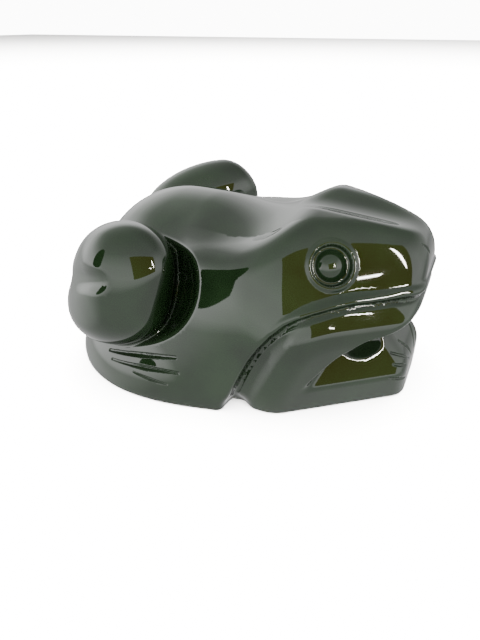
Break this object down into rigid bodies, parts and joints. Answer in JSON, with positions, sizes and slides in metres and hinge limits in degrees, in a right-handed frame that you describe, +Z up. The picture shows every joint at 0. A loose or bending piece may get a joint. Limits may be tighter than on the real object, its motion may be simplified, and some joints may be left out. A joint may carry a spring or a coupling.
{
  "type": "carved frog figurine",
  "caption": "Solid polished dark green stone frog, crouching, with round haunches, ringed eyes, a grooved mouth line and a flat ground base.",
  "frame": {"origin": "middle of the length and width, on the flat base", "axes": "+X towards the head, +Y towards the frog's left, +Z up"},
  "size_m": [0.0972, 0.0842, 0.0484],
  "materials": {
    "jade": "polished dark green nephrite jade"
  },
  "bodies": {
    "root": {"frog_carving": "jade"}
  },
  "joints": []
}
